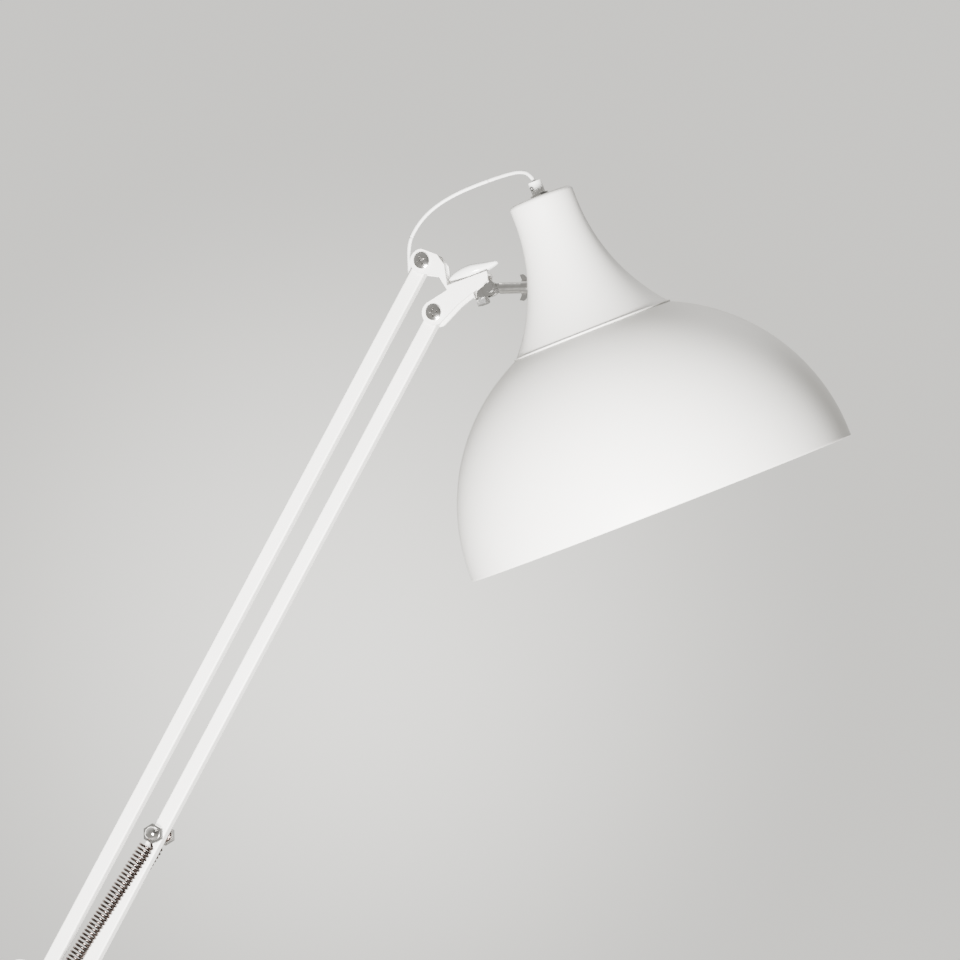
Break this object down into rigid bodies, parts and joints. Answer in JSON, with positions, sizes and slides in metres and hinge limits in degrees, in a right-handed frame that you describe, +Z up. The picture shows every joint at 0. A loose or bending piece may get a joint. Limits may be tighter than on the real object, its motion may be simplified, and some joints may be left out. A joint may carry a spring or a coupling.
{
  "type": "adjustable arm floor lamp",
  "caption": "Free-standing lamp: round weighted base, pole, sprung parallel-bar arms with an elbow, and a domed tilting shade with a flared neck.",
  "frame": {"origin": "middle of the underside of the round base", "axes": "+Z up; the arms move in the XZ plane at rest, with the shade towards +X; the cord leaves towards +Y"},
  "size_m": [0.6555, 0.4545, 1.7497],
  "materials": {
    "pad": "matt non-slip pad",
    "weight": "rough, unpainted",
    "base_paint": "satin white paint",
    "pole_paint": "satin white paint",
    "arm_paint": "satin white paint",
    "shade_paint": "satin white paint",
    "chrome": "polished plating",
    "plated_steel": "zinc-plated steel",
    "spring_steel": "dark nickel-plated spring wire",
    "bush_plastic": "moulded nylon",
    "knob_plastic": "glossy white",
    "grip_plastic": "glossy white",
    "flex_plastic": "soft white sheath",
    "lead_plastic": "soft white sheath",
    "switch_plastic": "moulded, satin white",
    "tie_plastic": "black strap",
    "holder_ceramic": "glazed porcelain",
    "cap_metal": "bright screw cap",
    "bulb_glass": "opal glass"
  },
  "bodies": {
    "base": {"base_pad": "pad", "base_weight": "weight", "base_cover": "base_paint", "cord_gland": "lead_plastic", "pole_stud": "plated_steel", "pole_nut": "plated_steel", "pole_flange": "chrome", "pole_lower": "pole_paint", "pole_joiner": "plated_steel", "pole_upper": "pole_paint", "pole_bush": "bush_plastic", "lead_to_switch": "lead_plastic", "switch_base": "switch_plastic", "switch_cover": "switch_plastic", "lead_to_coil": "lead_plastic", "lead_coil": "lead_plastic", "coil_tie": "tie_plastic", "lead_to_plug": "lead_plastic", "plug_body": "switch_plastic", "plug_pins": "plated_steel"},
    "foot_button": {"switch_button": "switch_plastic"},
    "turntable": {"turntable_block": "arm_paint", "turntable_plates": "arm_paint", "turntable_pivots": "chrome", "turntable_spring_pin": "plated_steel"},
    "lower_rear": {"lower_rear_bar": "arm_paint", "flex_turntable": "flex_plastic", "flex_elbow_lower": "flex_plastic"},
    "lower_front": {"lower_front_bar": "arm_paint", "lower_spring_bolt": "chrome", "lower_bolt_nuts": "chrome", "lower_springs": "spring_steel"},
    "elbow": {"elbow_plates": "arm_paint", "elbow_pivots": "chrome", "elbow_spring_pin": "plated_steel"},
    "upper_rear": {"upper_rear_bar": "arm_paint", "flex_elbow_upper": "flex_plastic", "flex_head_lower": "flex_plastic"},
    "upper_front": {"upper_front_bar": "arm_paint", "upper_spring_bolt": "chrome", "upper_bolt_nuts": "chrome", "upper_springs": "spring_steel"},
    "head": {"head_bracket": "arm_paint", "head_pivots": "chrome", "rod_knuckle": "chrome", "clamp_bolt": "plated_steel", "tilt_screw": "chrome", "flex_head_middle": "flex_plastic"},
    "knob": {"wing_knob": "knob_plastic"},
    "rod": {"tilt_rod": "chrome"},
    "rod_wing_nut": {"neck_wing_nut": "chrome"},
    "shade": {"shade_dome": "shade_paint", "shade_neck": "shade_paint", "grip_ring": "chrome", "cord_grip": "grip_plastic", "lampholder": "holder_ceramic", "bulb_cap": "cap_metal", "bulb_glass": "bulb_glass", "flex_head_upper": "flex_plastic"}
  },
  "joints": [
    {"name": "base_swivel", "type": "hinge", "parent": "base", "child": "turntable", "pos_m": [0, 0, 0.57], "axis": [0, 0, 1], "range_deg": [-170, 170]},
    {"name": "lower_arm", "type": "hinge", "parent": "turntable", "child": "lower_rear", "pos_m": [-0.016, 0, 0.6], "axis": [0, 1, 0], "range_deg": [-20, 40], "deforming": ["flex_turntable"]},
    {"name": "lower_front_link", "type": "hinge", "parent": "turntable", "child": "lower_front", "pos_m": [0.016, 0, 0.6], "axis": [0, 1, 0], "range_deg": [-20, 40], "deforming": ["lower_springs"]},
    {"name": "elbow_level", "type": "hinge", "parent": "lower_rear", "child": "elbow", "pos_m": [-0.15059, 0, 1.10228], "axis": [0, 1, 0], "range_deg": [-40, 20], "deforming": ["flex_elbow_lower"]},
    {"name": "upper_arm", "type": "hinge", "parent": "elbow", "child": "upper_rear", "pos_m": [-0.13709, 0, 1.16248], "axis": [0, 1, 0], "range_deg": [-19, 55], "deforming": ["flex_elbow_upper"]},
    {"name": "upper_front_link", "type": "hinge", "parent": "elbow", "child": "upper_front", "pos_m": [-0.12859, 0, 1.12628], "axis": [0, 1, 0], "range_deg": [-19, 55], "deforming": ["upper_springs"]},
    {"name": "head_level", "type": "hinge", "parent": "upper_rear", "child": "head", "pos_m": [0.1538, 0, 1.68725], "axis": [0, 1, 0], "range_deg": [-55, 19], "deforming": ["flex_head_lower"]},
    {"name": "wing_knob_turn", "type": "hinge", "parent": "head", "child": "knob", "pos_m": [0.19, 0, 1.67585], "axis": [-0.3173, 0, 0.9483], "continuous": true},
    {"name": "head_tilt", "type": "hinge", "parent": "head", "child": "rod", "pos_m": [0.20076, 0, 1.66764], "axis": [0, 1, 0], "range_deg": [-40, 25], "deforming": ["flex_head_middle"]},
    {"name": "wing_nut_turn", "type": "hinge", "parent": "rod", "child": "rod_wing_nut", "pos_m": [0.20076, 0, 1.66764], "axis": [1, 0, 0], "continuous": true},
    {"name": "shade_turn", "type": "hinge", "parent": "rod", "child": "shade", "pos_m": [0.20076, 0, 1.66764], "axis": [1, 0, 0], "range_deg": [-90, 70], "deforming": ["flex_head_upper"]},
    {"name": "switch_press", "type": "slide", "parent": "base", "child": "foot_button", "axis": [0, 0, -1], "range_m": [0, 0.0025], "stiffness_N_per_m": 400, "springref_m": -0.001}
  ],
  "couplings": [
    {"joint": "lower_front_link", "follows": "lower_arm", "ratio": 1},
    {"joint": "elbow_level", "follows": "lower_arm", "ratio": -1},
    {"joint": "upper_front_link", "follows": "upper_arm", "ratio": 1},
    {"joint": "head_level", "follows": "upper_arm", "ratio": -1}
  ]
}
